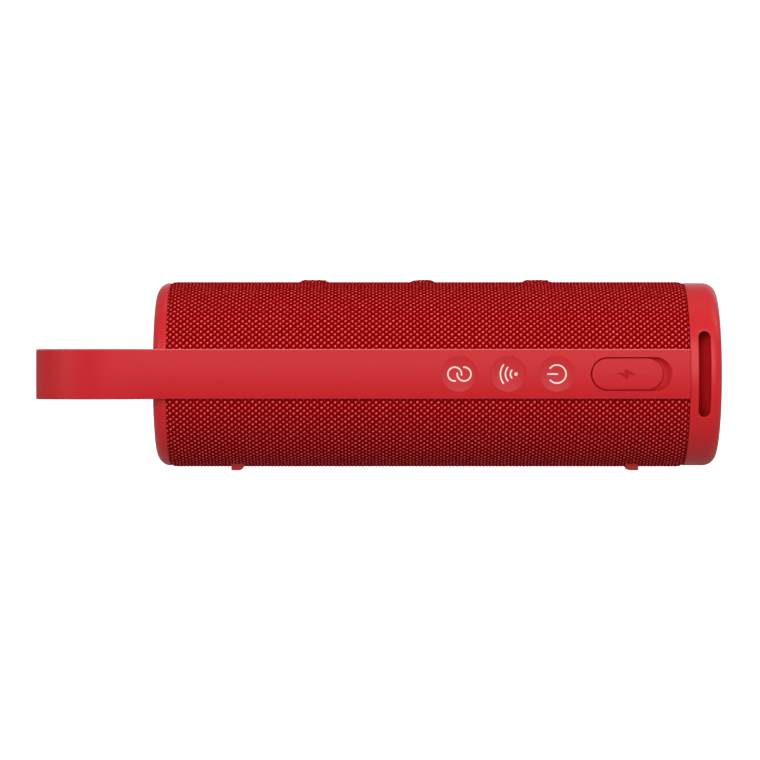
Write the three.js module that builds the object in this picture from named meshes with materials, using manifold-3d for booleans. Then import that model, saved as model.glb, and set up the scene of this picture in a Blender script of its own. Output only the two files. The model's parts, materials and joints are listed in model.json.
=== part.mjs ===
// A portable party speaker: a fabric-wrapped barrel lying on two foot bars, with a control strip along
// its back that runs on into a carry strap, a base cap that it can also stand on, and its inner works.
// Millimetres, +Z up. The model is drawn about the barrel's axis, which lies along X; the group then
// moves it so that the origin is under the middle of the whole, on the surface that the feet stand on.
import * as THREE from "three";
import { mergeVertices } from "three/addons/utils/BufferGeometryUtils.js";
import Module from "manifold-3d";

const wasm = await Module();
wasm.setup();

// ---------------------------------------------------------------- driving dimensions
const GAP = 0.3; // between pieces that touch
const HALF_LENGTH = 97.8; // of the body, cap end to cap end
const AXIS_HEIGHT = 33.5; // of the barrel's axis over the feet

const FABRIC = { outer: 32.3, inner: 31.4, left: -92.75, right: 86.25 };
const BARREL = { outer: 31.1, inner: 28.9, left: -90.4, right: 86.05 };
const GRILLE = { length: 18, height: 6, columns: 7, rows: 5, pitch: 22, turn: 19, middle: -3 };
const CHAMBER = { radius: 28.6, wall: 2, back: -24, top: 24.2, front: 14, left: -88.7, right: 78.6 };
const DRUM = 9.5; // how long the chamber's round ends are
const SEAM = 0.7; // half the space between the chamber's halves, filled by the gasket

const CAP = { radius: 32, backing: 30.9, spigot: 28.6, bore: 22.9, mouth: 21.2, wall: 2.6 };
// How far out each end face stays flat, and how square its edge is.
const LEFT_END = { flat: 20, power: 2.1 };
const BASE_END = { flat: 27.5, power: 2, depth: 4.5 };
const SLOT = { x: 91.5, width: 4.2, height: 29.4, flare: 24 };
const PAD = { outer: 21, inner: 13, proud: 0.2, depth: 1.2 };

const STRAP = { halfWidth: 8.55, crown: 33.6, inner: 31.4, end: -139.4, frontLeg: 24.5, right: 86.1 };
const STRAP_EYE = { x: -90.8, radius: 1.7, hole: 1.0 };
const PIN = { radius: 0.7, halfLength: 10.5 };

const KEY = { radius: 6.1, back: -31.8, post: 1.5, postEnd: -29.9, dish: 0.7 };
const BACK_KEYS = [
  ["link", 7.5],
  ["wireless", 24.2],
  ["power", 40.8],
];
const TOP_KEYS = [
  ["minus", -42.7],
  ["play", -4.8],
  ["plus", 35.2],
];
const SYMBOL = { half: 4.4, bar: 1.3, reach: 3.75, top: 33.15, base: 30.2, baseRadius: 5.9, flange: 1.3 };
const SWITCH = { side: 6, hole: 1.9, plunger: 1.6 };

const PORT = { x: 66.2, length: 27.6, width: 11.3, coverLength: 24.3 };
const SOCKET = { length: 8.94, width: 3.26, wall: 0.35, outer: -29.2, inner: -24.5 };
const TRAY = { left: -6, right: 86, rimRight: 78.3, outer: -31.1, inner: -27.4, halfWidth: 8.4 };
const TRAY_SKIN = 1.6;
const TRAY_WALL = 1.2;
const BOARD = { left: -4, right: 78, outer: -25.8, inner: -24.6, halfWidth: 9.5 };
const TOP_BOARD = { left: -50, right: 42, bottom: 24.8, top: 26, halfWidth: 9 };
const SCREW = { inset: 3, shank: 1, hole: 1.3, head: 1.9, headDepth: 1.1, driver: 0.8 };

const FOOT_X = [-69.8, 68.8];
const FOOT = { width: 3.2, halfDepth: 8, top: -29, ramp: 1.7, rampTop: -31.7 };
const WOOFER = { x: 22, length: 84, width: 44, flange: 7, rear: 2.2, roll: 6 };
const MOTOR = { radius: 13.5, back: -10, front: 1.9, coilOuter: 7.6, coilInner: 6.9, clearance: 0.7 };
const TWEETER = { x: -52, flange: 13, body: 10, mouth: 8.2, dome: 7.6, magnet: 8.5 };
const RADIATOR = { outer: 22.6, inner: 18, plate: 13.6, depth: 3.6, face: 1.2 };
const BATTERY = { x: -45.5, y: -11, z: 9.6, radius: 9.15, length: 65 };
const CRADLE = { halfLength: 12, floor: -21.7, halfWidth: 15 };

// ---------------------------------------------------------------- materials
const material = (color, roughness, metalness = 0) =>
  new THREE.MeshStandardMaterial({ color, roughness, metalness });
const RED = material(0xcc3338, 0.45);
const RUBBER_RED = material(0xc82d33, 0.6);
const FABRIC_RED = material(0x9c1c20, 0.9);
const BLACK = material(0x1c1c1e, 0.6);
const RUBBER = material(0x161616, 0.8);
const STEEL = material(0xb8bcc0, 0.3, 1);
const COPPER = material(0xb8703a, 0.4, 1);
const PAPER = material(0x2a2a2c, 0.9);
const BOARD_GREEN = material(0x1d5a34, 0.5);
const WRAP_BLUE = material(0x2a4f9a, 0.4);
const LEAD_RED = material(0xb02020, 0.5);
const LEAD_BLACK = material(0x202020, 0.5);

// ---------------------------------------------------------------- shape helpers
// A closed geometry as a manifold solid: only position is kept, and shared vertices are merged.
function solid(geometry) {
  const g = geometry.index ? geometry.toNonIndexed() : geometry.clone();
  for (const name of Object.keys(g.attributes)) if (name !== "position") g.deleteAttribute(name);
  const merged = mergeVertices(g, 1e-4);
  const mesh = new wasm.Mesh({
    numProp: 3,
    vertProperties: merged.attributes.position.array,
    triVerts: new Uint32Array(merged.index.array),
  });
  return new wasm.Manifold(mesh);
}

function geometryOf(manifold) {
  const mesh = manifold.getMesh();
  const geometry = new THREE.BufferGeometry();
  geometry.setAttribute("position", new THREE.BufferAttribute(new Float32Array(mesh.vertProperties), 3));
  geometry.setIndex(new THREE.BufferAttribute(new Uint32Array(mesh.triVerts), 1));
  return geometry;
}

// Where a shape's own x, y and extrusion go: "X" sends them to Y, Z and X, "Y" to Z, X and Y.
const UP = { X: [0, 1, 0, 0, 0, 1, 1, 0, 0], Y: [0, 0, 1, 1, 0, 0, 0, 1, 0], Z: [1, 0, 0, 0, 1, 0, 0, 0, 1] };

function turned(geometry, axis) {
  const [a, b, c, d, e, f, g, h, i] = UP[axis];
  const basis = new THREE.Matrix4().makeBasis(
    new THREE.Vector3(a, b, c),
    new THREE.Vector3(d, e, f),
    new THREE.Vector3(g, h, i),
  );
  return geometry.applyMatrix4(basis);
}

// A shape extruded along an axis from one place to another.
function extrude(shape, axis, from, to, curveSegments = 12) {
  const options = { depth: to - from, bevelEnabled: false, curveSegments };
  const geometry = new THREE.ExtrudeGeometry(shape, options);
  geometry.translate(0, 0, from);
  return solid(turned(geometry, axis));
}

function box(x0, x1, y0, y1, z0, z1) {
  const geometry = new THREE.BoxGeometry(x1 - x0, y1 - y0, z1 - z0);
  geometry.translate((x0 + x1) / 2, (y0 + y1) / 2, (z0 + z1) / 2);
  return solid(geometry);
}

// A cylinder along an axis. Its centre is given in the shape's own x and y, as turned() maps them.
function rod(axis, radius, from, to, segments = 24, across = 0, up = 0) {
  const shape = new THREE.Shape().absarc(across, up, radius, 0, Math.PI * 2);
  return extrude(shape, axis, from, to, segments / 2);
}

// A ring or disc turned about X: the profile is a closed list of [radius, x].
function revolve(profile, segments = 48) {
  const points = profile.map(([r, x]) => new THREE.Vector2(r, x));
  const closed = profile[0][0] === 0 ? points : [...points, points[0]];
  const geometry = new THREE.LatheGeometry(closed, segments);
  // LatheGeometry turns about its own y, which goes to X here.
  geometry.applyMatrix4(
    new THREE.Matrix4().makeBasis(
      new THREE.Vector3(0, 1, 0),
      new THREE.Vector3(1, 0, 0),
      new THREE.Vector3(0, 0, -1),
    ),
  );
  const made = solid(geometry);
  return made.volume() < 0 ? solid(flipped(geometry)) : made;
}

function flipped(geometry) {
  const g = geometry.index ? geometry.toNonIndexed() : geometry.clone();
  const p = g.attributes.position;
  for (let i = 0; i < p.count; i += 3) {
    const [x, y, z] = [p.getX(i), p.getY(i), p.getZ(i)];
    p.setXYZ(i, p.getX(i + 1), p.getY(i + 1), p.getZ(i + 1));
    p.setXYZ(i + 1, x, y, z);
  }
  return g;
}

// The edge of an end face as [radius, x] points, from the side wall in to a smaller radius. It is a
// superellipse, so the face rolls over gently and then more tightly.
function roundedEnd({ flat, power }, x, depth, stop, steps = 9) {
  const reach = CAP.radius - flat;
  const points = [];
  for (let i = 0; i <= steps; i++) {
    const a = (i / steps) * (Math.PI / 2);
    const r = flat + reach * Math.cos(a) ** (2 / power);
    const drop = depth * (1 - Math.sin(a) ** (2 / power));
    if (r > stop + 0.2) points.push([r, x - Math.sign(x) * drop]);
  }
  return points;
}

// A slot or plug with round ends, long in X and extruded along Y, where a shape's x is world Z and its
// y is world X.
function stadiumAlongY(length, width, from, to, x = 0) {
  const r = width / 2;
  const run = length / 2 - r;
  const shape = new THREE.Shape();
  shape.absarc(0, x + run, r, 0, Math.PI);
  shape.absarc(0, x - run, r, Math.PI, Math.PI * 2);
  shape.closePath();
  return extrude(shape, "Y", from, to, 6);
}

const at = (manifold, x, y, z) => manifold.translate([x, y, z]);

const speaker = new THREE.Group();

// A named mesh from a solid drawn in place, or from one drawn about its own origin and then placed.
function add(name, manifold, finish, place = [0, 0, 0]) {
  const mesh = new THREE.Mesh(geometryOf(manifold), finish);
  mesh.name = name;
  mesh.position.set(...place);
  speaker.add(mesh);
  return mesh;
}

// ---------------------------------------------------------------- top key symbols
// The raised mark of a top key as a prism, grown by a margin for the hole that it comes through.
function symbol(kind, margin, from, to) {
  const half = SYMBOL.half + margin;
  const bar = SYMBOL.bar + margin;
  const bars = box(-half, half, -bar, bar, from, to);
  if (kind === "minus") return bars;
  if (kind === "plus") return bars.add(box(-bar, bar, -half, half, from, to));
  const reach = SYMBOL.reach + margin;
  const shape = new THREE.Shape([
    new THREE.Vector2(-reach, -half),
    new THREE.Vector2(reach + margin, 0),
    new THREE.Vector2(-reach, half),
  ]);
  return extrude(shape, "Z", from, to);
}

// ---------------------------------------------------------------- the outer shell
function ringSector(outer, inner, halfWidth) {
  const a = Math.asin(halfWidth / outer);
  const shape = new THREE.Shape();
  shape.absarc(0, 0, outer, -Math.PI + a, Math.PI - a);
  shape.absarc(0, 0, inner, Math.PI - a, -Math.PI + a, true);
  shape.closePath();
  return shape;
}

// The room for both feet, with a margin along X.
function footRoom(margin) {
  const across = FOOT.width / 2 + margin;
  const deep = FOOT.halfDepth + GAP;
  return FOOT_X.map((x) => box(x - across, x + across, -deep, deep, -AXIS_HEIGHT, -25));
}

function buildFabric() {
  const opening = STRAP.halfWidth + GAP;
  let sleeve = extrude(ringSector(FABRIC.outer, FABRIC.inner, opening), "X", FABRIC.left, FABRIC.right, 26);
  for (const [kind, x] of TOP_KEYS) sleeve = sleeve.subtract(at(symbol(kind, 0.4, 28, 34), x, 0, 0));
  for (const room of footRoom(FOOT.ramp + GAP)) sleeve = sleeve.subtract(room);
  add("fabric_sleeve", sleeve, FABRIC_RED);
}

// The barrel carries the fabric. Its front is an open grille, and its back holds the control frame.
function buildBarrel() {
  const ring = new THREE.Shape().absarc(0, 0, BARREL.outer, 0, Math.PI * 2);
  ring.holes.push(new THREE.Path().absarc(0, 0, BARREL.inner, 0, Math.PI * 2));
  let barrel = extrude(ring, "X", BARREL.left, BARREL.right, 26);
  const side = TRAY.halfWidth + GAP;
  barrel = barrel.subtract(box(TRAY.left - GAP, TRAY.right + GAP, -40, -20, -side, side));
  for (const [, x] of TOP_KEYS) barrel = barrel.subtract(rod("Z", SYMBOL.baseRadius + 0.4, 20, 35, 24, x, 0));
  for (const room of footRoom(GAP)) barrel = barrel.subtract(room);
  const { length, height, columns, rows, pitch, turn, middle } = GRILLE;
  const hole = box(-length / 2, length / 2, BARREL.inner - 3, BARREL.outer + 3, -height / 2, height / 2);
  for (let row = 0; row < rows; row++) {
    const turned = hole.rotate([(row - (rows - 1) / 2) * turn, 0, 0]);
    for (let column = 0; column < columns; column++) {
      barrel = barrel.subtract(at(turned, middle + (column - (columns - 1) / 2) * pitch, 0, 0));
    }
  }
  add("grille_barrel", barrel, BLACK);
}

const STRAP_THICKNESS = STRAP.crown - STRAP.inner;
const EYE_Y = STRAP.frontLeg + STRAP_THICKNESS / 2;

// The space that the strap's end and its pin take in the left cap.
function strapPocket() {
  const half = STRAP.halfWidth + GAP;
  const leg = STRAP.frontLeg;
  const mouth = box(-100, STRAP_EYE.x, leg - GAP, leg + STRAP_THICKNESS + GAP, -half, half);
  const eyeRoom = STRAP_EYE.radius + GAP;
  const eye = box(STRAP_EYE.x - eyeRoom, STRAP_EYE.x + 3, EYE_Y - eyeRoom, 33, -half, half);
  const pinRoom = PIN.halfLength + GAP;
  const pin = rod("Z", PIN.radius + GAP, -pinRoom, pinRoom, 16, STRAP_EYE.x, EYE_Y);
  return mouth.add(eye).add(pin);
}

// The ring round the left end. A step in its spigot backs the fabric's edge and meets the barrel.
function buildLeftCap() {
  const shoulder = FABRIC.left - GAP;
  const spigotEnd = CHAMBER.left - GAP;
  const step = BARREL.left - GAP;
  const ledge = spigotEnd - RADIATOR.depth - GAP;
  let cap = revolve([
    [CAP.backing, shoulder],
    ...roundedEnd(LEFT_END, -HALF_LENGTH, HALF_LENGTH + shoulder, CAP.mouth + 0.8),
    [CAP.mouth, -HALF_LENGTH + 1],
    [CAP.mouth, ledge],
    [CAP.bore, ledge],
    [CAP.bore, spigotEnd],
    [CAP.spigot, spigotEnd],
    [CAP.spigot, step],
    [CAP.backing, step],
  ]);
  // The strap runs over the cap's back edge in a shallow seat.
  const seat = STRAP.halfWidth + GAP;
  cap = cap.subtract(box(-100, shoulder + 1, -40, -STRAP.inner + GAP, -seat, seat));
  cap = cap.subtract(strapPocket());
  add("left_cap", cap, RED);
}

// The slots in the base cap's side wall, behind and in front, with round ends above and below.
function slotMouths() {
  const r = SLOT.width / 2;
  const run = SLOT.height / 2 - r;
  const shape = new THREE.Shape();
  shape.absarc(run, SLOT.x, r, -Math.PI / 2, Math.PI / 2);
  shape.absarc(-run, SLOT.x, r, Math.PI / 2, (Math.PI * 3) / 2);
  return extrude(shape, "Y", -35, 35, 8);
}

function buildBaseCap() {
  const end = HALF_LENGTH - PAD.proud;
  const shoulder = FABRIC.right + GAP;
  const spigotEnd = CHAMBER.right + GAP;
  const ledge = spigotEnd + RADIATOR.depth + GAP;
  const slotLeft = SLOT.x - SLOT.width / 2;
  const slotRight = SLOT.x + SLOT.width / 2;
  const inside = CAP.radius - CAP.wall;
  // The base's inside is a plateau with a flared edge, which turns the radiator's air to the slots.
  let cap = revolve([
    [0, slotLeft],
    [SLOT.flare, slotLeft],
    [inside, slotRight + 0.8],
    [inside, shoulder + 2],
    [CAP.bore + 1, ledge + 2],
    [CAP.mouth, ledge + 2],
    [CAP.mouth, ledge],
    [CAP.bore, ledge],
    [CAP.bore, spigotEnd],
    [CAP.spigot, spigotEnd],
    [CAP.spigot, shoulder],
    [CAP.radius, shoulder],
    ...roundedEnd(BASE_END, end, BASE_END.depth, BASE_END.flat),
    [0, end],
  ]);
  cap = cap.subtract(slotMouths().subtract(rod("X", inside - 0.5, 80, 99, 64)));
  const grooveDisc = rod("X", PAD.outer + GAP, end - PAD.depth, end + 2, 48);
  const grooveCore = rod("X", PAD.inner - GAP, end - PAD.depth - 1, end + 3, 48);
  cap = cap.subtract(grooveDisc.subtract(grooveCore));
  add("base_cap", cap, RED);
  const from = end - PAD.depth + GAP;
  const pad = rod("X", PAD.outer, from, HALF_LENGTH, 48).subtract(rod("X", PAD.inner, from - 1, 99, 48));
  add("base_pad", pad, RUBBER);
}

// ---------------------------------------------------------------- the strap and what is in it
// The strap's inner face: along the back, round the left end and back in at the front of the left cap.
class StrapPath extends THREE.Curve {
  constructor() {
    super();
    this.bend = (STRAP.inner + STRAP.frontLeg) / 2;
    this.middle = (STRAP.frontLeg - STRAP.inner) / 2;
    this.turn = STRAP.end + this.bend + STRAP_THICKNESS;
    this.back = STRAP.right - this.turn;
    this.arc = this.bend * Math.PI;
    this.total = this.back + this.arc + (STRAP_EYE.x - this.turn);
  }
  getPoint(t, target = new THREE.Vector3()) {
    const s = t * this.total;
    if (s <= this.back) return target.set(STRAP.right - s, -STRAP.inner, 0);
    if (s <= this.back + this.arc) {
      const a = (s - this.back) / this.bend;
      return target.set(this.turn - this.bend * Math.sin(a), this.middle - this.bend * Math.cos(a), 0);
    }
    return target.set(this.turn + s - this.back - this.arc, STRAP.frontLeg, 0);
  }
}

// Flat inside, crowned outside. On this path a section's x runs down and its y runs outwards.
function strapSection(steps = 6) {
  const points = [new THREE.Vector2(STRAP.halfWidth, 0)];
  for (let i = 0; i <= steps; i++) {
    const z = STRAP.halfWidth * (1 - (2 * i) / steps);
    points.push(new THREE.Vector2(z, Math.sqrt(STRAP.crown ** 2 - z ** 2) - STRAP.inner));
  }
  points.push(new THREE.Vector2(-STRAP.halfWidth, 0));
  return new THREE.Shape(points);
}

function buildStrap() {
  const swept = new THREE.ExtrudeGeometry(strapSection(), { steps: 60, extrudePath: new StrapPath() });
  let strap = solid(swept);
  const { halfWidth } = STRAP;
  strap = strap.add(rod("Z", STRAP_EYE.radius, -halfWidth, halfWidth, 20, STRAP_EYE.x, EYE_Y));
  strap = strap.subtract(rod("Z", STRAP_EYE.hole, -10, 10, 16, STRAP_EYE.x, EYE_Y));
  for (const [, x] of BACK_KEYS) strap = strap.subtract(at(keyWell(KEY.radius + GAP), x, 0, 0));
  strap = strap.subtract(stadiumAlongY(PORT.length, PORT.width, -40, -30, PORT.x));
  add("carry_strap", strap, RUBBER_RED);
  const pin = rod("Z", PIN.radius, -PIN.halfLength, PIN.halfLength, 16);
  add("strap_pin", pin, STEEL, [STRAP_EYE.x, EYE_Y, 0]);
}

// ---------------------------------------------------------------- the back keys and the port
// A round hole through the strip, down past the keys' posts.
function keyWell(radius) {
  return rod("Y", radius, -40, KEY.postEnd + 0.1, 36);
}

// The rigid tray under the strip: it backs the strap, guides the key posts and frames the port.
function buildControlFrame() {
  const { left, right, rimRight, outer, inner, halfWidth } = TRAY;
  const floor = outer + TRAY_SKIN;
  const clear = halfWidth - TRAY_WALL;
  const hollow = box(left + TRAY_WALL, rimRight - TRAY_WALL, floor, inner + 1, -clear, clear);
  let frame = box(left, rimRight, outer, inner, -halfWidth, halfWidth).subtract(hollow);
  frame = frame.add(box(left, right, outer, floor, -halfWidth, halfWidth));
  for (const [, x] of BACK_KEYS) frame = frame.subtract(rod("Y", KEY.post + 0.5, -35, -25, 20, 0, x));
  frame = frame.subtract(stadiumAlongY(SOCKET.length + 2.2, SOCKET.width + 1.4, -35, -25, PORT.x));
  add("control_frame", frame, RED);
}

// A dished round key about its own axis, with the post that pushes the switch.
function keyGeometry() {
  const crown = rod("X", STRAP.crown, -10, 10, 96);
  const dishRadius = (KEY.radius ** 2 + KEY.dish ** 2) / (2 * KEY.dish);
  const dish = solid(new THREE.SphereGeometry(dishRadius, 30, 60));
  return rod("Y", KEY.radius, -40, KEY.back, 36)
    .intersect(crown)
    .subtract(at(dish, 0, -STRAP.crown - dishRadius + KEY.dish, 0))
    .add(rod("Y", KEY.post, KEY.back - 0.2, KEY.postEnd, 16));
}

// A push switch on a board: a square body with a round plunger in it, facing away from the board.
function switchBody(height, floor) {
  const half = SWITCH.side / 2;
  const body = box(-half, half, -half, half, 0, height);
  return body.subtract(rod("Z", SWITCH.hole, floor, height + 1, 20));
}

function buildBackKeys() {
  const key = keyGeometry();
  const body = switchBody(2.5, 0.9).rotate([90, 0, 0]);
  const plunger = rod("Y", SWITCH.plunger, KEY.postEnd + GAP, -27.6, 20);
  for (const [name, x] of BACK_KEYS) {
    add(`${name}_key`, key, RUBBER_RED, [x, 0, 0]);
    add(`${name}_switch`, body, BLACK, [x, BOARD.outer - GAP, 0]);
    add(`${name}_plunger`, plunger, STEEL, [x, 0, 0]);
  }
}

// The port's flap is one piece with the rib that plugs the socket. It hinges at its left end.
function buildPort() {
  const left = PORT.x - PORT.length / 2 + GAP;
  const middle = left + PORT.coverLength / 2;
  const plate = stadiumAlongY(PORT.coverLength, PORT.width - 2 * GAP, -40, -31.5, middle);
  const rib = stadiumAlongY(SOCKET.length + 0.4, SOCKET.width + 0.5, -31.7, -30.2, PORT.x);
  const crown = rod("X", STRAP.crown, 40, 90, 96);
  add("port_cover", plate.intersect(crown).add(rib), RUBBER_RED);

  const { length, width, wall, outer, inner } = SOCKET;
  const shell = stadiumAlongY(length, width, outer, inner);
  const inside = stadiumAlongY(length - 2 * wall, width - 2 * wall, outer - 1, inner - 2 * wall);
  const tongue = box(-3.35, 3.35, outer + 0.6, inner - wall, -wall, wall);
  add("usb_socket", shell.subtract(inside).add(tongue), STEEL, [PORT.x, 0, 0]);
  const seal = stadiumAlongY(length + 4, width + 4, outer + 0.1, outer + 1.3);
  const sealHole = stadiumAlongY(length + 2 * GAP, width + 2 * GAP, outer - 1, outer + 2);
  add("port_seal", seal.subtract(sealHole), RUBBER, [PORT.x, 0, 0]);
}

const SCREW_X = [BOARD.left + SCREW.inset, BOARD.right - SCREW.inset];

function buildControlBoard() {
  const { left, right, outer, inner, halfWidth } = BOARD;
  let board = box(left, right, outer, inner, -halfWidth, halfWidth);
  const socket = stadiumAlongY(SOCKET.length + 2 * GAP, SOCKET.width + 2 * GAP, -30, -20, PORT.x);
  board = board.subtract(socket);
  for (const x of SCREW_X) board = board.subtract(rod("Y", SCREW.hole, -30, -20, 16, 0, x));
  add("control_board", board, BOARD_GREEN);
  const seat = outer - GAP;
  const head = rod("Y", SCREW.head, seat - SCREW.headDepth, seat, 16);
  const driver = rod("Y", SCREW.driver, seat - 2, seat - 0.5, 6);
  const shank = rod("Y", SCREW.shank, seat - 0.2, CHAMBER.back + 1.6, 12);
  const screw = head.add(shank).subtract(driver);
  add("board_screw_left", screw, STEEL, [SCREW_X[0], 0, 0]);
  add("board_screw_right", screw, STEEL, [SCREW_X[1], 0, 0]);
}

// ---------------------------------------------------------------- the top keys
function buildTopKeys() {
  const { left, right, bottom, top, halfWidth } = TOP_BOARD;
  add("top_board", box(left, right, -halfWidth, halfWidth, bottom, top), BOARD_GREEN);
  const body = switchBody(1.8, 0.6);
  const flangeBottom = SYMBOL.base - SYMBOL.flange;
  const plunger = rod("Z", SWITCH.plunger, top + 1.5, flangeBottom - GAP, 20);
  for (const [name, x] of TOP_KEYS) {
    const flange = rod("Z", SYMBOL.baseRadius, flangeBottom, SYMBOL.base, 30);
    const crown = rod("X", SYMBOL.top, -10, 10, 96);
    const mark = symbol(name, 0, SYMBOL.base - 0.5, SYMBOL.top + 1).intersect(crown);
    add(`${name}_key`, flange.add(mark), RUBBER_RED, [x, 0, 0]);
    add(`${name}_switch`, body, BLACK, [x, 0, top + GAP]);
    add(`${name}_plunger`, plunger, STEEL, [x, 0, 0]);
  }
}

// A bar across the underside with a low ramp on its inner side. The shape's x is world Z and its y is X.
function buildFeet() {
  const { width, halfDepth, top, ramp, rampTop } = FOOT;
  const half = width / 2;
  const outline = new THREE.Shape([
    new THREE.Vector2(-AXIS_HEIGHT, -half),
    new THREE.Vector2(-AXIS_HEIGHT, half),
    new THREE.Vector2(rampTop, half + ramp),
    new THREE.Vector2(rampTop, half),
    new THREE.Vector2(top, half),
    new THREE.Vector2(top, -half),
  ]);
  const bar = extrude(outline, "Y", -halfDepth, halfDepth);
  add("left_foot", bar, RUBBER_RED, [FOOT_X[0], 0, 0]);
  add("right_foot", bar.rotate([0, 0, 180]), RUBBER_RED, [FOOT_X[1], 0, 0]);
}

// ---------------------------------------------------------------- the sealed chamber
// A round section with flats: in front for the drivers, on top and behind for the boards. The drum at
// each end stays round in front, where the radiator looks into it.
function chamberBody(inset) {
  const { radius, back, top, front, left, right } = CHAMBER;
  const piece = (from, to, face) =>
    rod("X", radius - inset, from, to, 48).intersect(box(from, to, back + inset, face, -40, top - inset));
  const body = piece(left + inset, right - inset, front - inset);
  return body
    .add(piece(left + inset, left + DRUM - inset, radius))
    .add(piece(right - DRUM + inset, right - inset, radius));
}

function buildChamber() {
  const { left, right, wall, radius, top } = CHAMBER;
  const ports = rod("X", RADIATOR.inner + 0.5, left - 1, left + wall + 1, 40).add(
    rod("X", RADIATOR.inner + 0.5, right - wall - 1, right + 1, 40),
  );
  let shell = chamberBody(0).subtract(chamberBody(wall)).subtract(ports);
  shell = shell.subtract(stadiumAlongY(WOOFER.length - 8, WOOFER.width - 8, 5, 20, WOOFER.x));
  shell = shell.subtract(rod("Y", TWEETER.body + 2 * GAP, 5, 20, 32, 0, TWEETER.x));
  for (const x of SCREW_X) {
    shell = shell.subtract(rod("Y", SCREW.hole, CHAMBER.back - 1, CHAMBER.back + wall + 1, 16, 0, x));
  }
  add("chamber_front", shell.subtract(box(-100, 100, -40, SEAM, -40, 40)), BLACK);
  add("chamber_rear", shell.subtract(box(-100, 100, -SEAM, 40, -40, 40)), BLACK);

  // The radiators' openings part the seam, so one gasket runs above them and one below.
  const seam = box(-100, 100, -SEAM + GAP, SEAM - GAP, -40, 40);
  const ring = shell.intersect(seam);
  const above = box(-100, 100, -2, 2, 0, top);
  const below = box(-100, 100, -2, 2, -radius, 0);
  add("upper_gasket", ring.intersect(above), RUBBER);
  add("lower_gasket", ring.intersect(below), RUBBER);
}

// ---------------------------------------------------------------- drivers and radiators
function racetrackRing(outerLength, outerWidth, innerLength, innerWidth, from, to) {
  return stadiumAlongY(outerLength, outerWidth, from, to).subtract(
    stadiumAlongY(innerLength, innerWidth, from - 1, to + 1),
  );
}

function buildWoofer() {
  const place = [WOOFER.x, 0, 0];
  const { length, width, flange, rear, roll } = WOOFER;
  const face = CHAMBER.front + GAP;
  const rim = racetrackRing(length, width, length - 2 * flange, width - 2 * flange, face, face + 2);
  const basket = racetrackRing(length - 9, width - 9, length - 13, width - 13, rear + 1.7, face + 0.2);
  const back = stadiumAlongY(length - 9, width - 9, rear, rear + 1.8);
  let frame = rim.add(basket).add(back.subtract(rod("Y", MOTOR.radius - 1, 0, 6, 32)));
  for (const x of [-25, 25]) frame = frame.subtract(at(stadiumAlongY(18, 14, 0, 6), x, 0, 0));
  add("woofer_frame", frame, STEEL, place);
  addWooferSurround(face + 2 + GAP, place);

  const coneBack = face + 2 + GAP;
  const inset = 8 + 2 * roll + 2 * GAP;
  const cone = stadiumAlongY(length - inset, width - inset, coneBack, coneBack + 1.2);
  const capRadius = 20;
  const cap = solid(new THREE.SphereGeometry(capRadius, 24, 40)).intersect(rod("Y", 8.5, 0, 40, 24));
  const domed = at(cap, 0, coneBack + 3 - capRadius, 0).subtract(box(-20, 20, -30, coneBack + 0.5, -20, 20));
  add("woofer_cone", cone.add(domed), PAPER, place);
  addMotor(coneBack, place);
}

// The rubber roll between the woofer's rim and its cone.
function addWooferSurround(back, place) {
  const { length, width, roll } = WOOFER;
  const outline = new THREE.Shape(racetrackPoints(length - 8, width - 8));
  outline.holes.push(new THREE.Path(racetrackPoints(length - 8 - 2 * roll, width - 8 - 2 * roll)));
  const bevel = { bevelThickness: 0.9, bevelSize: 1.6, bevelOffset: -1.6, bevelSegments: 2 };
  const ring = new THREE.ExtrudeGeometry(outline, { ...bevel, depth: 0.6, curveSegments: 1 });
  add("woofer_surround", at(solid(turned(ring, "Y")), 0, back + bevel.bevelThickness, 0), RUBBER, place);
}

// The coil hangs from the cone into the magnet's groove, and the spider centres it.
function addMotor(coneBack, place) {
  const { radius, back, front, coilOuter, coilInner, clearance } = MOTOR;
  const former = rod("Y", coilOuter, -2, coneBack - GAP, 32);
  add("voice_coil", former.subtract(rod("Y", coilInner, -5, 20, 32)), COPPER, place);
  const spider = rod("Y", 15, 6, 7.2, 36).subtract(rod("Y", coilOuter + GAP, 5, 8, 32));
  add("woofer_spider", spider, FABRIC_RED, place);
  const groove = rod("Y", coilOuter + clearance, back + 2, 3, 32);
  const pole = rod("Y", coilInner - 0.6, back + 1, 4, 32);
  const magnet = rod("Y", radius, back, front, 36).subtract(groove.subtract(pole));
  add("woofer_magnet", magnet, STEEL, place);
}

// The points of a racetrack long in world X, for a shape that is extruded along Y.
function racetrackPoints(length, width, steps = 12) {
  const r = width / 2;
  const run = length / 2 - r;
  const end = (side) =>
    Array.from({ length: steps + 1 }, (_, i) => {
      const a = (i / steps) * Math.PI + (side < 0 ? Math.PI : 0);
      return new THREE.Vector2(r * Math.cos(a), side * run + r * Math.sin(a));
    });
  return [...end(1), ...end(-1)];
}

function buildTweeter() {
  const { x, flange, body, mouth, dome, magnet } = TWEETER;
  const place = [x, 0, 0];
  const face = CHAMBER.front + GAP;
  const bottom = 6;
  const frame = rod("Y", flange, face, face + 2, 36)
    .add(rod("Y", body, bottom, face + 0.2, 36))
    .subtract(rod("Y", mouth, bottom + 1.5, 20, 32));
  add("tweeter_frame", frame, BLACK, place);
  const ball = solid(new THREE.SphereGeometry(10, 24, 28));
  const shallow = ball.intersect(rod("Y", dome, 6.5, 12, 32));
  add("tweeter_dome", at(shallow, 0, face - 6.2, 0), STEEL, place);
  add("tweeter_magnet", rod("Y", magnet, 0, bottom - GAP, 32), STEEL, place);
}

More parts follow.
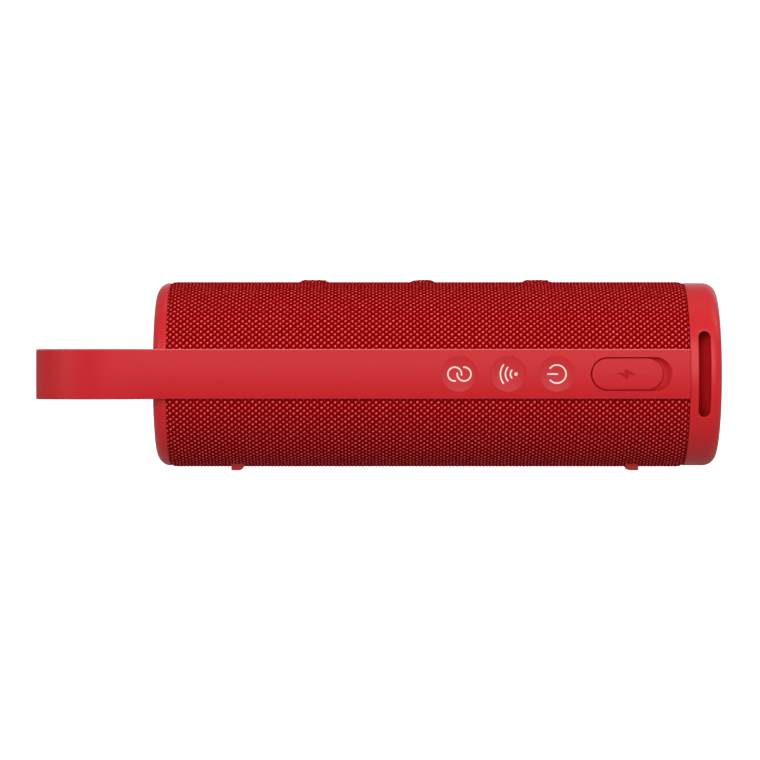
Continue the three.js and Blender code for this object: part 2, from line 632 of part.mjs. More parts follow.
// A passive radiator about its own origin: x = 0 is its inner face and it looks along +X.
function radiatorParts() {
  const { outer, inner, plate, depth, face } = RADIATOR;
  const frame = rod("X", outer, 0, depth, 48).subtract(rod("X", inner, -1, depth + 1, 48));
  const edge = plate + GAP;
  const middle = (edge + inner - GAP) / 2;
  const half = (inner - GAP - edge) / 2;
  const arch = Array.from({ length: 6 }, (_, i) => {
    const a = Math.PI - (i / 5) * Math.PI;
    return [middle + half * Math.cos(a), 1.4 + 1.5 * Math.sin(a)];
  });
  const surround = revolve([[edge, 0.8], ...arch, [inner - GAP, 0.8]], 36);
  const front = face + 0.6;
  const disc = revolve([
    [0, 0.2],
    [plate, 0.2],
    [plate, front + 0.2],
    [plate - 1, front + 0.8],
    [plate - 2.4, front],
    [0, front],
  ]);
  return { frame, surround, disc };
}

function buildRadiators() {
  const { frame, surround, disc } = radiatorParts();
  const sides = [
    ["left", CHAMBER.left - GAP, 180],
    ["base", CHAMBER.right + GAP, 0],
  ];
  for (const [name, x, turn] of sides) {
    const place = (part) => part.rotate([0, 0, turn]);
    add(`${name}_radiator_frame`, place(frame), BLACK, [x, 0, 0]);
    add(`${name}_radiator_surround`, place(surround), RUBBER, [x, 0, 0]);
    add(`${name}_radiator_plate`, place(disc), STEEL, [x, 0, 0]);
  }
}

// ---------------------------------------------------------------- power and wiring
function wire(points, radius, steps) {
  const path = new THREE.CatmullRomCurve3(points.map((p) => new THREE.Vector3(...p)));
  const round = new THREE.Shape().absarc(0, 0, radius, 0, Math.PI * 2);
  return solid(new THREE.ExtrudeGeometry(round, { steps, extrudePath: path, curveSegments: 4 }));
}

// From the upper cell's end to the main board, and from the main board to the woofer's frame.
const BATTERY_LEAD = [
  [-12.7, -11, 9.6],
  [-6, -11.5, 10.5],
  [4, -15, 14.8],
  [16, -18, 14.5],
  [29.7, -18.9, 12],
];
const WOOFER_LEAD = [
  [50, 1.9, 13],
  [50, -2, 13.2],
  [51, -8, 15],
  [52, -14, 13],
  [52, -18, 12.9],
];

function buildPower() {
  const { x, y, z, radius, length } = BATTERY;
  const cell = rod("X", radius, -length / 2, length / 2, 36);
  add("battery_cell_upper", cell, WRAP_BLUE, [x, y, z]);
  add("battery_cell_lower", cell, WRAP_BLUE, [x, y, -z]);
  const { halfLength, floor, halfWidth } = CRADLE;
  let cradle = box(x - halfLength, x + halfLength, floor, y - 1, -halfWidth, halfWidth);
  for (const side of [-1, 1]) {
    const seat = rod("X", radius + GAP, x - halfLength - 1, x + halfLength + 1, 36, y, side * z);
    cradle = cradle.subtract(seat);
  }
  add("battery_cradle", cradle, BLACK);
  add("main_board", box(30, 75, -19.5, -18.3, -16, 16), BOARD_GREEN);
  add("battery_lead", wire(BATTERY_LEAD, 1, 14), LEAD_RED);
  add("woofer_lead", wire(WOOFER_LEAD, 0.8, 12), LEAD_BLACK);
}

buildFabric();
buildBarrel();
buildLeftCap();
buildBaseCap();
buildStrap();
buildControlFrame();
buildBackKeys();
buildPort();
buildControlBoard();
buildTopKeys();
buildFeet();
buildChamber();
buildWoofer();
buildTweeter();
buildRadiators();
buildPower();

speaker.position.set(-(STRAP.end + HALF_LENGTH) / 2, (STRAP.crown - FABRIC.outer) / 2, AXIS_HEIGHT);

export default speaker;
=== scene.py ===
import json
import math

import bmesh
import bpy
import numpy as np
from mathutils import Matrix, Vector


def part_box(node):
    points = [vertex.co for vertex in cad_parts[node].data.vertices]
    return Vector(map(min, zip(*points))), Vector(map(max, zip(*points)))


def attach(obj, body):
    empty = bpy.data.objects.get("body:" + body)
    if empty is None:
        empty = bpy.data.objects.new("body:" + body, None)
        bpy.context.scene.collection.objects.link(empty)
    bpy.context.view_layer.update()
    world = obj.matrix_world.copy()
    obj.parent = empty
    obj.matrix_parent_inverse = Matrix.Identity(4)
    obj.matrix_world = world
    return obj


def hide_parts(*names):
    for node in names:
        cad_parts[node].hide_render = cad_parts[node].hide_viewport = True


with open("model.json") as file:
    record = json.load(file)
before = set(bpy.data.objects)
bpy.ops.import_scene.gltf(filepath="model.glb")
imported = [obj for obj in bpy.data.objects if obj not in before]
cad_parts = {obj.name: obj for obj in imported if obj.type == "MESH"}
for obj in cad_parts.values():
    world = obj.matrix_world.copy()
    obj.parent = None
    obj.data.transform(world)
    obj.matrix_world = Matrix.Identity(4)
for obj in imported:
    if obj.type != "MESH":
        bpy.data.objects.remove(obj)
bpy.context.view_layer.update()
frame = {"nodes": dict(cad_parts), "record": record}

# ---------------------------------------------------------------- dimensions, in millimetres
MM = 0.001

# The body. Places along the axis are measured from the body's middle.
HALF_LENGTH = 97.8
LEFT_FACE = 97.6  # how far out the left end's face lies, and the base's
BASE_FACE = HALF_LENGTH - 0.2
BARREL_LEFT = -90.4  # the grille barrel's left end, from which the body's middle is found
CAP_RADIUS = 32.0
CAP_BORE = 21.2
CAP_WALL = 2.6
LEFT_FLAT = 26.5  # radius at which the left end face starts to roll over
BASE_FLAT = 28.2
BASE_ROLL = 4.5  # how far along the wall the base cap's edge rolls
SPIGOT_RADIUS = 28.6  # of each cap's inner end, which sits in the barrel
SPIGOT_BORE = 22.9
LEFT_SPIGOT_END = -89.0
BASE_SPIGOT_END = 78.9
SLOT_X = 91.5
SLOT_WIDTH = 4.0
SLOT_HEIGHT = 29.4
PAD_OUTER = 21.0
PAD_INNER = 13.0
PAD_BED = 96.4

# The cloth sleeve.
FABRIC_RADIUS = 32.45
FABRIC_LEFT = -92.75
FABRIC_RIGHT = 86.25
END_TUCK, END_TUCK_REACH = 0.6, 2.0  # how deep the cloth's edges turn in, and over what distance
SIDE_TUCK, SIDE_TUCK_REACH = 0.7, 1.1
HOLE_TUCK = 0.25
CLOTH_CLEARANCE = 0.08  # round a foot
BULGE_HEIGHT = 0.78  # of the cloth over a top key
BULGE_EDGE = 0.9

# Its weave: knots in a centred lattice.
KNOTS_X = 76  # along the cloth
KNOTS_S = 88  # and round it
CLOTH_CELLS_X = 4 * KNOTS_X
CLOTH_CELLS_S = 328
WEAVE_RELIEF = 0.2
KNOT = (0.58, 0.62, 0.0, -0.13)  # half width, half height, and how far its middle is shifted
PAINTED_GLINT = (0.35, 0.32, 0.1, -0.02)  # the same, for the painted highlight on a knot
KNOT_SLANT = 0.06
KNOT_CHEVRON = 0.5  # how far the two wings of a knot are swept up
WEAVE_WANDER = 0.34  # how far the lattice strays, in knots

# The control strip, and the carry strap that it runs on into.
CROWN_RADIUS = 33.6
STRAP_HALF_WIDTH = 8.55
LOOP_EXTRA_WIDTH = 0.2
STRAP_INNER = 31.4
STRAP_THICKNESS = 2.1
STRAP_EDGE = 0.6
STRAP_LEG = 24.5
STRAP_RIGHT = 86.35
STRAP_TURN_X = -109.75
STRAP_EYE_X = -90.8
TURN_FLATNESS = 0.6  # how flat the strap is where it starts to turn back
SKIRT_DEPTH = 1.3
SKIRT_WIDTH = 0.7

# Keys, port and feet.
KEY_X = {"link": 7.5, "wireless": 24.2, "power": 40.8}
KEY_RADIUS = 6.1
KEY_BACK = -31.8
KEY_DISH = 1.0
KEY_CLEARANCE = 0.04
PRINT_WIDTH = 0.5
PRINT_TOP, PRINT_FOOT = 0.03, -0.05  # over the key's face
TOP_KEY_X = {"minus": -42.7, "play": -4.8, "plus": 35.2}
TOP_KEY_RADIUS = 32.75
SYMBOL_HALF = 4.4
SYMBOL_BAR = 1.3
SYMBOL_REACH = 3.75
PORT_X = 66.2
PORT_LENGTH = 27.6
PORT_WIDTH = 11.3
COVER_LENGTH = 24.3
COVER_WIDTH = PORT_WIDTH - 0.55
COVER_LEFT = PORT_X - PORT_LENGTH / 2 + 0.3
BOLT_X = PORT_X - 1.7
FOOT_X = (-69.8, 68.8)
FOOT_RAMP_SIDE = (1, -1)  # each foot's ramp faces the middle
FOOT_HALF_DEPTH = 8.0
FOOT_HALF_WIDTH = 1.6
FOOT_TOP = -29.0
FOOT_RAMP = 2.7
FOOT_HOLE_REACH = 2.4  # of the cloth's hole, on the ramp's side
PLATE_RADIUS = 13.6

# How finely round shapes are cut.
ROUND_STEPS = 144
CAP_STEPS = 180
CIRCLE_STEPS = 72
STADIUM_STEPS = 24
ROLL_STEPS = 28

# ---------------------------------------------------------------- colours and light
# cloth colours: the ground, partly its own dark yarn and partly painted shade in the hollows between knots;
# the knots; and a painted highlight on each knot
CLOTH_GROUND_AND_SHADE = (0.22, 0.0004, 0.001)
CLOTH_KNOT = (0.57, 0.016, 0.02)
CLOTH_PAINTED_GLINT = (0.92, 0.30, 0.30)
SILICONE_RED = (0.585, 0.013, 0.018)
# a painted highlight along the strip's upper edge: its colour, and where it fades in
EDGE_HIGHLIGHT = (0.9, 0.28, 0.28)
EDGE_HIGHLIGHT_START, EDGE_HIGHLIGHT_FULL = 0.4, 0.2  # in millimetres below the strip's upper edge
STAGE_GLOW = 1.0
WORLD_GLOW = (0.32, 0.34)  # below and above
LIGHT_TARGET = (0, 0, 0.03)
LIGHTS = {  # place and size in metres, and power in watts
    "key_light": ((0.25, -1.25, 0.47), (2.0, 1.0), 17),
    "side_light": ((-1.2, -0.35, 0.12), (0.5, 0.8), 4.4),
    "rear_light": ((0.3, 1.3, 0.5), (1.6, 0.8), 2.2),
    "rim_light": ((1.0, 0.1, 0.9), (0.2, 0.7), 1.5),
    "top_light": ((0.0, 0.1, 1.2), (1.6, 0.4), 0.9),
}
CAMERA_DISTANCE = 1200.0  # in millimetres from the axis
CAMERA_OFFSET = (-19.6, -2.02)  # along the axis and up
CAMERA_LENS = 162.0
STAGE_FLAT = 1.9  # the stage's sizes are in metres
STAGE_CURVE = 0.7
STAGE_RIM = 2.4

# ---------------------------------------------------------------- worked out from these and the frame
OPEN_ANGLE = math.asin((STRAP_HALF_WIDTH + 0.1) / FABRIC_RADIUS)
CLOTH_ARC = (2 * math.pi - 2 * OPEN_ANGLE) * FABRIC_RADIUS
WEAVE_X = (FABRIC_RIGHT - FABRIC_LEFT) / KNOTS_X  # from one knot to the next along the barrel
WEAVE_S = CLOTH_ARC / KNOTS_S  # and round it

barrel_low, barrel_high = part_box("grille_barrel")
middle_y = (barrel_low.y + barrel_high.y) / 2
middle_z = (barrel_low.z + barrel_high.z) / 2
ORIGIN = np.array([barrel_low.x / MM - BARREL_LEFT, middle_y / MM, middle_z / MM])


# ---------------------------------------------------------------- mesh helpers
def soften(mesh, degrees):
    """Smooth shading, with a hard edge wherever two faces meet at more than this angle."""
    mesh.polygons.foreach_set("use_smooth", [True] * len(mesh.polygons))
    mesh.set_sharp_from_angle(angle=math.radians(degrees))


def make_piece(name, points, faces, material, degrees=35):
    """A mesh object from points in millimetres about the axis."""
    mesh = bpy.data.meshes.new(name)
    places = (np.asarray(points, float) + ORIGIN) * MM
    mesh.from_pydata(places.tolist(), [], faces)
    mesh.update()
    piece = bpy.data.objects.new(name, mesh)
    bpy.context.scene.collection.objects.link(piece)
    face_outwards(mesh)
    soften(mesh, degrees)
    if material:
        mesh.materials.append(material)
    return piece


def face_outwards(mesh):
    """Turns every face of a closed mesh outwards."""
    work = bmesh.new()
    work.from_mesh(mesh)
    bmesh.ops.recalc_face_normals(work, faces=work.faces)
    work.to_mesh(mesh)
    work.free()


def loft(name, rings, material=None, degrees=35, closed=False, pair=None):
    """Joins rings of points one to the next. The ends are capped, or meet when closed.

    With pair, an end is capped by strips between the ring's two sides, where point i faces pair - i.
    """
    rings = [np.asarray(ring, float) for ring in rings]
    size = len(rings[0])
    faces = []
    for i in range(len(rings) - (0 if closed else 1)):
        here = i * size
        there = (i + 1) % len(rings) * size
        for j in range(size):
            k = (j + 1) % size
            faces.append((here + j, here + k, there + k, there + j))
    last = (len(rings) - 1) * size
    if pair is not None:
        first = (pair + 1) // 2
        for i in range(first, first + size // 2 - 1):
            strip = (i % size, (i + 1) % size, (pair - i - 1) % size, (pair - i) % size)
            faces.append(strip[::-1])
            faces.append(tuple(last + j for j in strip))
    elif not closed:
        faces.append(tuple(range(size))[::-1])
        faces.append(tuple(range(last, last + size)))
    return make_piece(name, np.concatenate(rings), faces, material, degrees)


def applied(piece):
    """Puts the result of the piece's modifiers into its mesh."""
    graph = bpy.context.evaluated_depsgraph_get()
    mesh = bpy.data.meshes.new_from_object(piece.evaluated_get(graph))
    old = piece.data
    piece.modifiers.clear()
    piece.data = mesh
    bpy.data.meshes.remove(old)
    return piece


def combine(piece, cutters, operation="DIFFERENCE", degrees=35):
    """Cuts each cutter out of the piece, or joins it on, and removes the cutter."""
    for cutter in cutters:
        change = piece.modifiers.new("cut", "BOOLEAN")
        change.operation = operation
        change.solver = "MANIFOLD"
        change.object = cutter
        applied(piece)
        bpy.data.objects.remove(cutter)
    soften(piece.data, degrees)
    return piece


def box(x0, x1, y0, y1, z0, z1):
    ring = [(y0, z0), (y1, z0), (y1, z1), (y0, z1)]
    return loft("cutter", [[(x, y, z) for y, z in ring] for x in (x0, x1)])


def lathe(name, profile, material, steps=ROUND_STEPS):
    """A profile of (radius, x) points turned about the axis.

    A profile that starts near the axis is open there, and its two ends are capped.
    """
    angles = np.linspace(0, 2 * math.pi, steps, endpoint=False)
    rings = []
    for radius, x in profile:
        rings.append([(x, radius * math.sin(a), radius * math.cos(a)) for a in angles])
    return loft(name, rings, material, closed=profile[0][0] > 1)


def rounded(profile, size, steps=4, closed=True):
    """The profile with its corners rounded, each by size or by what its sides allow."""
    points = [np.array(p, float) for p in profile]
    result = []
    count = len(points)
    for i, point in enumerate(points):
        if not closed and i in (0, count - 1):
            result.append(tuple(point))
            continue
        before = points[i - 1] - point
        after = points[(i + 1) % count] - point
        far_before, far_after = np.linalg.norm(before), np.linalg.norm(after)
        cut = min(size, far_before * 0.45, far_after * 0.45)
        start = point + before / far_before * cut
        end = point + after / far_after * cut
        for t in np.linspace(0, 1, steps + 1):
            place = start * (1 - t) ** 2 + point * 2 * t * (1 - t) + end * t**2
            result.append(tuple(place))
    return result


def stadium(length, width, x, grow=0.0):
    """(x, z) points round a slot with round ends, and along its sides."""
    radius = width / 2 + grow
    run = (length - width) / 2
    points = []
    for side in (1, -1):
        for t in np.linspace(-math.pi / 2, math.pi / 2, STADIUM_STEPS):
            turn = t if side > 0 else t + math.pi
            points.append((x + side * run + radius * math.cos(turn), radius * math.sin(turn)))
        for share in np.linspace(1, -1, STADIUM_STEPS)[1:-1]:
            points.append((x + side * run * share, side * radius))
    return points


def circle(radius, x):
    """(x, z) points round a circle."""
    turns = np.linspace(0, 2 * math.pi, CIRCLE_STEPS, endpoint=False)
    return [(x + radius * math.cos(t), radius * math.sin(t)) for t in turns]


def on_back(outline, depth):
    """The outline laid on the crown of the control strip, sunk by a depth along +Y."""
    return [(x, -math.sqrt(CROWN_RADIUS**2 - z**2) + depth, z) for x, z in outline]


# ---------------------------------------------------------------- materials
def new_material(name):
    material = bpy.data.materials.new(name)
    material.use_nodes = True
    return material, material.node_tree, material.node_tree.nodes["Principled BSDF"]


def math_node(tree, operation, *values):
    node = tree.nodes.new("ShaderNodeMath")
    node.operation = operation
    for socket, value in zip(node.inputs, values):
        if isinstance(value, (int, float)):
            socket.default_value = value
        else:
            tree.links.new(value, socket)
    return node.outputs[0]


def vector_node(tree, operation, *values):
    node = tree.nodes.new("ShaderNodeVectorMath")
    node.operation = operation
    for socket, value in zip(node.inputs, values):
        if isinstance(value, tuple):
            socket.default_value = value
        else:
            tree.links.new(value, socket)
    return node


def noise(tree, scale, detail):
    """Noise over the piece's own place in the frame, so that its grain has one real size."""
    place = tree.nodes.new("ShaderNodeTexCoord")
    node = tree.nodes.new("ShaderNodeTexNoise")
    node.inputs["Scale"].default_value = scale
    node.inputs["Detail"].default_value = detail
    tree.links.new(place.outputs["Object"], node.inputs["Vector"])
    return node.outputs["Fac"]


def mix_colour(tree, factor, first, second):
    node = tree.nodes.new("ShaderNodeMix")
    node.data_type = "RGBA"
    tree.links.new(factor, node.inputs["Factor"])
    for socket, value in ((node.inputs[6], first), (node.inputs[7], second)):
        if isinstance(value, tuple):
            socket.default_value = (*value, 1)
        else:
            tree.links.new(value, socket)
    return node.outputs[2]


def bump(tree, shader, height, distance, strength=1.0):
    node = tree.nodes.new("ShaderNodeBump")
    node.inputs["Strength"].default_value = strength
    node.inputs["Distance"].default_value = distance * MM
    tree.links.new(height, node.inputs["Height"])
    tree.links.new(node.outputs["Normal"], shader.inputs["Normal"])


def remap(tree, value, low_out, high_out, low_in=0.3, high_in=0.7):
    node = tree.nodes.new("ShaderNodeMapRange")
    node.inputs["From Min"].default_value = low_in
    node.inputs["From Max"].default_value = high_in
    node.inputs["To Min"].default_value = low_out
    node.inputs["To Max"].default_value = high_out
    tree.links.new(value, node.inputs["Value"])
    return node.outputs["Result"]


def moulded(name, colour, roughness, grain=0.012, grain_scale=2600, drift=0.05, specular=0.5, coat=0.0):
    """Moulded plastic or rubber: a fine spark-eroded grain, and a slow drift in colour and gloss."""
    material, tree, shader = new_material(name)
    slow = noise(tree, 26, 3)
    fine = noise(tree, grain_scale, 3)
    darker = tuple(c * (1 - drift) for c in colour)
    lighter = tuple(min(c * (1 + drift), 1) for c in colour)
    tree.links.new(mix_colour(tree, slow, darker, lighter), shader.inputs["Base Color"])
    rough = remap(tree, fine, roughness - 0.05, roughness + 0.06)
    tree.links.new(rough, shader.inputs["Roughness"])
    shader.inputs["Coat Weight"].default_value = coat
    shader.inputs["Specular IOR Level"].default_value = specular
    bump(tree, shader, fine, grain)
    return material


def knots(tree, place, shift, reach):
    """How high the knot at a lattice point stands, from 1 at its middle to 0 at its edge."""
    half_x, half_s, middle_x, middle_s = reach
    cell = vector_node(tree, "FRACTION", vector_node(tree, "ADD", place, (shift, shift, 0)).outputs[0])
    centred = vector_node(tree, "SUBTRACT", cell.outputs[0], (0.5, 0.5, 0))
    sized = vector_node(tree, "MULTIPLY", centred.outputs[0], (WEAVE_X, WEAVE_S, 0))
    parts = tree.nodes.new("ShaderNodeSeparateXYZ")
    tree.links.new(sized.outputs[0], parts.inputs[0])
    across = math_node(tree, "MULTIPLY_ADD", parts.outputs[1], -KNOT_SLANT, parts.outputs[0])
    wings = math_node(tree, "ABSOLUTE", parts.outputs[0])
    along = math_node(tree, "MULTIPLY_ADD", wings, -KNOT_CHEVRON, parts.outputs[1])
    across = math_node(tree, "DIVIDE", math_node(tree, "ADD", across, -middle_x), half_x)
    along = math_node(tree, "DIVIDE", math_node(tree, "ADD", along, -middle_s), half_s)
    across_squared = math_node(tree, "POWER", across, 2.0)
    along_squared = math_node(tree, "POWER", along, 2.0)
    squares = math_node(tree, "ADD", across_squared, along_squared)
    return math_node(tree, "MAXIMUM", math_node(tree, "SUBTRACT", 1.0, squares), 0.0)


def woven():
    """Coarse mesh cloth: knots in a centred lattice on a dark ground, darker from each knot's edge into the
    hollows partly as painted shade, and a painted highlight on each knot. The UV counts the knots.
    """
    material, tree, shader = new_material("woven_cloth")
    uv = tree.nodes.new("ShaderNodeUVMap")
    uv.uv_map = "weave"
    wobble = tree.nodes.new("ShaderNodeTexNoise")
    wobble.inputs["Scale"].default_value = 0.9
    tree.links.new(uv.outputs[0], wobble.inputs["Vector"])
    drift = vector_node(tree, "SUBTRACT", wobble.outputs["Color"], (0.5, 0.5, 0.5))
    drift = vector_node(tree, "MULTIPLY", drift.outputs[0], (WEAVE_WANDER, WEAVE_WANDER, 0))
    place = vector_node(tree, "ADD", uv.outputs[0], drift.outputs[0]).outputs[0]
    body = math_node(tree, "MAXIMUM", knots(tree, place, 0.0, KNOT), knots(tree, place, 0.5, KNOT))
    # painted highlight: a small lighter spot near each knot's top, stronger on some knots than others
    glint = math_node(tree, "MAXIMUM", knots(tree, place, 0.0, PAINTED_GLINT), knots(tree, place, 0.5, PAINTED_GLINT))
    vary = noise(tree, 900, 1)
    lit = math_node(tree, "MULTIPLY", glint, remap(tree, vary, 0.35, 1.0))
    # darker from each knot's edge into the hollows: partly the cloth's own ground, partly painted shade
    base = mix_colour(tree, remap(tree, body, 0, 1, 0.0, 0.5), CLOTH_GROUND_AND_SHADE, CLOTH_KNOT)
    tree.links.new(mix_colour(tree, lit, base, CLOTH_PAINTED_GLINT), shader.inputs["Base Color"])
    shader.inputs["Roughness"].default_value = 0.85
    shader.inputs["Specular IOR Level"].default_value = 0.0
    bump(tree, shader, body, 0.24, 0.5)
    return material


def brushed(name, colour, roughness):
    """Spun metal: fine rings about the axis, seen as streaks in its gloss."""
    material, tree, shader = new_material(name)
    place = tree.nodes.new("ShaderNodeTexCoord")
    shifted = vector_node(tree, "SUBTRACT", place.outputs["Object"], tuple(ORIGIN * MM))
    flat = vector_node(tree, "MULTIPLY", shifted.outputs[0], (0, 1, 1))
    radius = vector_node(tree, "LENGTH", flat.outputs[0]).outputs["Value"]
    streak = tree.nodes.new("ShaderNodeTexNoise")
    streak.noise_dimensions = "1D"
    streak.inputs["Scale"].default_value = 4000
    tree.links.new(radius, streak.inputs["W"])
    gloss = remap(tree, streak.outputs["Fac"], roughness - 0.08, roughness + 0.12)
    tree.links.new(gloss, shader.inputs["Roughness"])
    tint = mix_colour(tree, streak.outputs["Fac"], tuple(c * 0.85 for c in colour), colour)
    tree.links.new(tint, shader.inputs["Base Color"])
    shader.inputs["Metallic"].default_value = 1.0
    bump(tree, shader, streak.outputs["Fac"], 0.01)
    return material


def painted_edge_highlight(material):
    """Adds a painted highlight: a paler band along the upper edge of the strip and the strap, standing in
    for light caught on the rounded edge.
    """
    tree = material.node_tree
    shader = tree.nodes["Principled BSDF"]
    place = tree.nodes.new("ShaderNodeTexCoord")
    parts = tree.nodes.new("ShaderNodeSeparateXYZ")
    tree.links.new(place.outputs["Object"], parts.inputs[0])
    edge = (ORIGIN[2] + STRAP_HALF_WIDTH) * MM
    start, full = edge - EDGE_HIGHLIGHT_START * MM, edge - EDGE_HIGHLIGHT_FULL * MM
    share = remap(tree, parts.outputs["Z"], 0, 0.5, start, full)
    base = shader.inputs["Base Color"].links[0].from_socket
    tree.links.new(mix_colour(tree, share, base, EDGE_HIGHLIGHT), shader.inputs["Base Color"])
    return material


cap_red = moulded("cap_plastic", (0.655, 0.014, 0.019), 0.36, specular=0.35)
silicone_red = moulded("silicone", SILICONE_RED, 0.46, grain=0.008, specular=0.2)
# the strip and strap carry a painted highlight along their upper edge
strip_red = painted_edge_highlight(moulded("strip_silicone", SILICONE_RED, 0.46, grain=0.008, specular=0.2))
key_red = moulded("key_silicone", (0.57, 0.0115, 0.0165), 0.46, grain=0.006, specular=0.3)
# a darker red used only as painted shade on the sunk bolt's floor
bolt_shade_red = moulded("bolt_shade_silicone", (0.50, 0.002, 0.004), 0.6, grain=0.006, specular=0.15)
foot_red = moulded("foot_rubber", (0.46, 0.012, 0.016), 0.6, specular=0.3)
tray_red = moulded("tray_plastic", (0.50, 0.008, 0.012), 0.6, specular=0.1)
print_white = moulded("printed_ink", (0.95, 0.78, 0.72), 0.6, grain=0.004)
black_plastic = moulded("black_plastic", (0.012, 0.012, 0.013), 0.5, drift=0.2)
black_rubber = moulded("black_rubber", (0.014, 0.014, 0.015), 0.7, drift=0.2)
board_green = moulded("solder_resist", (0.012, 0.09, 0.035), 0.35, grain_scale=900, coat=0.4)
cell_blue = moulded("cell_wrap", (0.02, 0.08, 0.35), 0.3, coat=0.3)
paper_black = moulded("pressed_paper", (0.02, 0.02, 0.021), 0.9, grain=0.05, grain_scale=1200, drift=0.3)
lead_red = moulded("lead_red", (0.4, 0.01, 0.012), 0.45)
steel = brushed("spun_steel", (0.62, 0.63, 0.65), 0.3)
copper = brushed("copper_wire", (0.72, 0.32, 0.16), 0.35)
cloth = woven()


# ---------------------------------------------------------------- cloth sleeve
def knot_height(u, v):
    """The same knots as the cloth's material, for the relief of its mesh."""
    half_x, half_s, middle_x, middle_s = KNOT
    best = np.zeros_like(u)
    for shift in (0.0, 0.5):
        across = ((u + shift) % 1.0 - 0.5) * WEAVE_X
        along = ((v + shift) % 1.0 - 0.5) * WEAVE_S
        swept = (along - KNOT_CHEVRON * np.abs(across) - middle_s) / half_s
        across = (across - KNOT_SLANT * along - middle_x) / half_x
        best = np.maximum(best, 1 - across**2 - swept**2)
    return np.clip(best, 0, 1)


def inside(outline, x, y):
    """Which of the points (x, y) lie inside the closed outline."""
    result = np.zeros(x.shape, bool)
    for (x0, y0), (x1, y1) in zip(outline, outline[1:] + outline[:1]):
        if y0 != y1:
            crosses = (y0 > y) != (y1 > y)
            result ^= crosses & (x < (x1 - x0) * (y - y0) / (y1 - y0) + x0)
    return result


def nearest(outline, x, y):
    """The point of the closed outline that is nearest to (x, y)."""
    spot = np.array([x, y])
    best = None
    for start, end in zip(outline, outline[1:] + outline[:1]):
        start, end = np.array(start), np.array(end)
        share = np.clip((spot - start) @ (end - start) / ((end - start) @ (end - start)), 0, 1)
        place = start + share * (end - start)
        gap = np.linalg.norm(place - spot)
        if best is None or gap < best[0]:
            best = (gap, place)
    return best[1]


def key_bulge(x, y):
    """How far the cloth is lifted at (x, y), on the upper side, by the top keys beneath it."""
    lift = np.zeros_like(x)
    for name, middle in TOP_KEY_X.items():
        outline = [(middle + px, py) for px, py in symbol_outline(name)]
        gap = np.full(x.shape, np.inf)
        for (x0, y0), (x1, y1) in zip(outline, outline[1:] + outline[:1]):
            long, deep = x1 - x0, y1 - y0
            share = ((x - x0) * long + (y - y0) * deep) / (long**2 + deep**2)
            share = np.clip(share, 0, 1)
            gap = np.minimum(gap, np.hypot(x - x0 - share * long, y - y0 - share * deep))
        depth = np.where(inside(outline, x, y), gap, -gap)
        share = np.clip((depth + BULGE_EDGE) / (2 * BULGE_EDGE), 0, 1)
        lift = np.maximum(lift, BULGE_HEIGHT * share**2 * (3 - 2 * share))
    return lift


def foot_hole(x, side):
    """The outline, in x and y, of the hole through which a foot bar comes."""
    reaches = (-FOOT_HALF_WIDTH - CLOTH_CLEARANCE, FOOT_HOLE_REACH)
    left, right = sorted(x + side * reach for reach in reaches)
    deep = FOOT_HALF_DEPTH + CLOTH_CLEARANCE
    return [(left, -deep), (right, -deep), (right, deep), (left, deep)]


def cut_hole(points, keep, outline):
    """Drops the cloth's lower cells inside the outline and draws the edge of the hole onto it."""
    x, y, z = points[..., 0], points[..., 1], points[..., 2]
    within = inside(outline, x, y) & (z < 0)
    cells = within[:-1, :-1] & within[1:, :-1] & within[1:, 1:] & within[:-1, 1:]
    keep &= ~cells
    gone = np.zeros((x.shape[0] + 1, x.shape[1] + 1), bool)
    gone[1:-1, 1:-1] = cells
    around = [gone[:-1, :-1], gone[1:, :-1], gone[1:, 1:], gone[:-1, 1:]]
    touched = around[0] | around[1] | around[2] | around[3]
    surrounded = around[0] & around[1] & around[2] & around[3]
    for i, j in zip(*np.nonzero(touched & ~surrounded)):
        px, py = nearest(outline, x[i, j], y[i, j])
        radius = math.hypot(y[i, j], z[i, j]) - HOLE_TUCK
        points[i, j] = (px, py, -math.sqrt(radius**2 - py**2))


def build_cloth():
    """A sleeve round the barrel, open along the control strip, with its edges tucked in."""
    x = np.linspace(FABRIC_LEFT, FABRIC_RIGHT, CLOTH_CELLS_X + 1)
    s = np.linspace(0, CLOTH_ARC, CLOTH_CELLS_S + 1)
    grid_x, grid_s = np.meshgrid(x, s, indexing="ij")
    u, v = grid_x / WEAVE_X, grid_s / WEAVE_S
    u -= u[0, 0]
    radius = FABRIC_RADIUS - WEAVE_RELIEF + WEAVE_RELIEF * knot_height(u, v)
    to_end = np.minimum(grid_x - FABRIC_LEFT, FABRIC_RIGHT - grid_x)
    to_side = np.minimum(grid_s, CLOTH_ARC - grid_s)
    radius -= END_TUCK * np.clip(1 - to_end / END_TUCK_REACH, 0, 1) ** 2
    radius -= SIDE_TUCK * np.clip(1 - to_side / SIDE_TUCK_REACH, 0, 1) ** 2
    angle = OPEN_ANGLE + grid_s / FABRIC_RADIUS
    above = np.sin(angle) > 0.7  # the top keys all lie well within this stretch
    radius[above] += key_bulge(grid_x[above], -FABRIC_RADIUS * np.cos(angle[above]))
    points = np.stack([grid_x, -radius * np.cos(angle), radius * np.sin(angle)], -1)
    keep = np.ones((CLOTH_CELLS_X, CLOTH_CELLS_S), bool)
    for foot_x, side in zip(FOOT_X, FOOT_RAMP_SIDE):
        cut_hole(points, keep, foot_hole(foot_x, side))
    index = np.arange(points.size // 3).reshape(grid_x.shape)
    corners = np.stack([index[:-1, :-1], index[1:, :-1], index[1:, 1:], index[:-1, 1:]], -1)
    used, faces = np.unique(corners[keep], return_inverse=True)
    faces = faces.reshape(-1, 4)
    sleeve = make_piece("cloth_sleeve", points.reshape(-1, 3)[used], faces.tolist(), cloth, 180)
    layer = sleeve.data.uv_layers.new(name="weave")
    loops = np.empty(len(sleeve.data.loops), np.int32)
    sleeve.data.loops.foreach_get("vertex_index", loops)
    flat_uv = np.stack([u.ravel(), v.ravel()], -1)[used][loops]
    layer.data.foreach_set("uv", flat_uv.ravel())
    return sleeve


